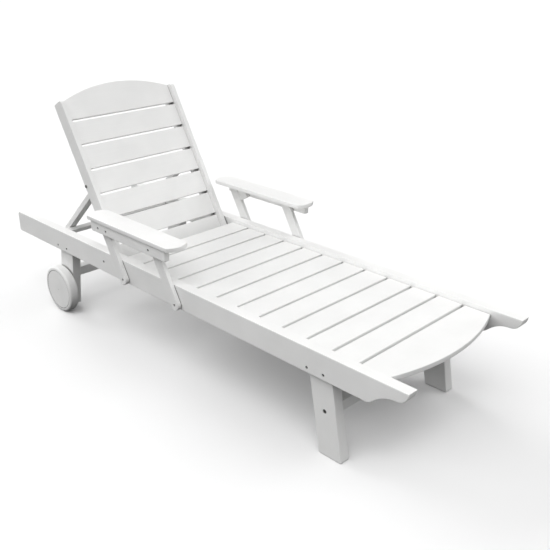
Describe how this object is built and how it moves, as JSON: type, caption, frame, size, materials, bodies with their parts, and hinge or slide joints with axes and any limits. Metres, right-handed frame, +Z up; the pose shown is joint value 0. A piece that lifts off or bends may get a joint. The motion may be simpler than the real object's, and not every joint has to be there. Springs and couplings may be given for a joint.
{
  "type": "reclining sun lounger",
  "caption": "Slatted sun lounger with a reclining arched backrest on a notched prop frame, fold-down arms on parallel links, splayed legs and two rear wheels",
  "frame": {"origin": "centre of the bounding box in plan, on the floor", "axes": "+X to the foot end along the rails, +Y to the sitter's left, +Z up"},
  "size_m": [2.05, 0.7096, 0.9043],
  "materials": {
    "lumber": "satin moulded plastic lumber, white, solid colour, faint drawn grain",
    "wheel_plastic": "satin moulded polyethylene, white",
    "cap_plastic": "smooth satin moulded plastic, white",
    "fastener": "plain stainless steel"
  },
  "bodies": {
    "frame": {"side_rail_left": "lumber", "side_rail_right": "lumber", "seat_slat_01": "lumber", "seat_slat_02": "lumber", "seat_slat_03": "lumber", "seat_slat_04": "lumber", "seat_slat_05": "lumber", "seat_slat_06": "lumber", "seat_slat_07": "lumber", "seat_slat_08": "lumber", "seat_slat_09": "lumber", "seat_slat_10": "lumber", "seat_slat_11": "lumber", "seat_slat_12": "lumber", "front_leg_left": "lumber", "front_leg_right": "lumber", "rear_leg_left": "lumber", "rear_leg_right": "lumber", "front_stretcher": "lumber", "rear_stretcher": "lumber", "seat_ledger_left": "lumber", "seat_ledger_right": "lumber", "notched_rack_left": "lumber", "notched_rack_right": "lumber", "axle_bolt_left": "fastener", "axle_bolt_right": "fastener", "back_pivot_bolt_left": "fastener", "back_pivot_bolt_right": "fastener"},
    "backrest": {"back_stile_left": "lumber", "back_stile_right": "lumber", "back_batten_left": "lumber", "back_batten_right": "lumber", "back_slat_1": "lumber", "back_slat_2": "lumber", "back_slat_3": "lumber", "back_slat_4": "lumber", "back_slat_5": "lumber", "back_slat_6": "lumber", "back_slat_7": "lumber", "prop_pivot_bolt_left": "fastener", "prop_pivot_bolt_right": "fastener"},
    "prop": {"prop_arm_left": "lumber", "prop_arm_right": "lumber", "prop_crossbar": "lumber"},
    "arm_left": {"arm_board_left": "lumber", "arm_apron_left": "lumber", "stop_block_left": "lumber"},
    "rear_link_body_left": {"rear_link_left": "lumber"},
    "front_link_body_left": {"front_link_left": "lumber"},
    "wheel_body_left": {"wheel_left": "wheel_plastic", "wheel_cap_left": "cap_plastic"},
    "arm_right": {"arm_board_right": "lumber", "arm_apron_right": "lumber", "stop_block_right": "lumber"},
    "rear_link_body_right": {"rear_link_right": "lumber"},
    "front_link_body_right": {"front_link_right": "lumber"},
    "wheel_body_right": {"wheel_right": "wheel_plastic", "wheel_cap_right": "cap_plastic"}
  },
  "joints": [
    {"name": "backrest_recline", "type": "hinge", "parent": "frame", "child": "backrest", "pos_m": [-0.37595, 0, 0.3111], "axis": [0, 1, 0], "range_deg": [-60.2, 0]},
    {"name": "prop_swing", "type": "hinge", "parent": "backrest", "child": "prop", "pos_m": [-0.52014, 0, 0.56387], "axis": [0, 1, 0], "range_deg": [0, 102.95]},
    {"name": "arm_fold_left", "type": "hinge", "parent": "frame", "child": "rear_link_body_left", "pos_m": [-0.23181, 0.32025, 0.2866], "axis": [0, 1, 0], "range_deg": [0, 106]},
    {"name": "arm_level_left", "type": "hinge", "parent": "rear_link_body_left", "child": "arm_left", "pos_m": [-0.33302, 0.32025, 0.46476], "axis": [0, 1, 0], "range_deg": [-106, 0]},
    {"name": "front_link_swing_left", "type": "hinge", "parent": "frame", "child": "front_link_body_left", "pos_m": [0.07029, 0.32025, 0.2866], "axis": [0, 1, 0], "range_deg": [0, 106]},
    {"name": "wheel_spin_left", "type": "hinge", "parent": "frame", "child": "wheel_body_left", "pos_m": [-0.70554, 0.3176, 0.0969], "axis": [0, 1, 0], "continuous": true},
    {"name": "arm_fold_right", "type": "hinge", "parent": "frame", "child": "rear_link_body_right", "pos_m": [-0.23181, -0.32025, 0.2866], "axis": [0, 1, 0], "range_deg": [0, 106]},
    {"name": "arm_level_right", "type": "hinge", "parent": "rear_link_body_right", "child": "arm_right", "pos_m": [-0.33302, -0.32025, 0.46476], "axis": [0, 1, 0], "range_deg": [-106, 0]},
    {"name": "front_link_swing_right", "type": "hinge", "parent": "frame", "child": "front_link_body_right", "pos_m": [0.07029, -0.32025, 0.2866], "axis": [0, 1, 0], "range_deg": [0, 106]},
    {"name": "wheel_spin_right", "type": "hinge", "parent": "frame", "child": "wheel_body_right", "pos_m": [-0.70554, -0.3176, 0.0969], "axis": [0, 1, 0], "continuous": true}
  ],
  "couplings": [
    {"joint": "prop_swing", "follows": "backrest_recline", "ratio": -1.7101},
    {"joint": "arm_level_left", "follows": "arm_fold_left", "ratio": -1},
    {"joint": "front_link_swing_left", "follows": "arm_fold_left", "ratio": 1},
    {"joint": "arm_level_right", "follows": "arm_fold_right", "ratio": -1},
    {"joint": "front_link_swing_right", "follows": "arm_fold_right", "ratio": 1}
  ]
}
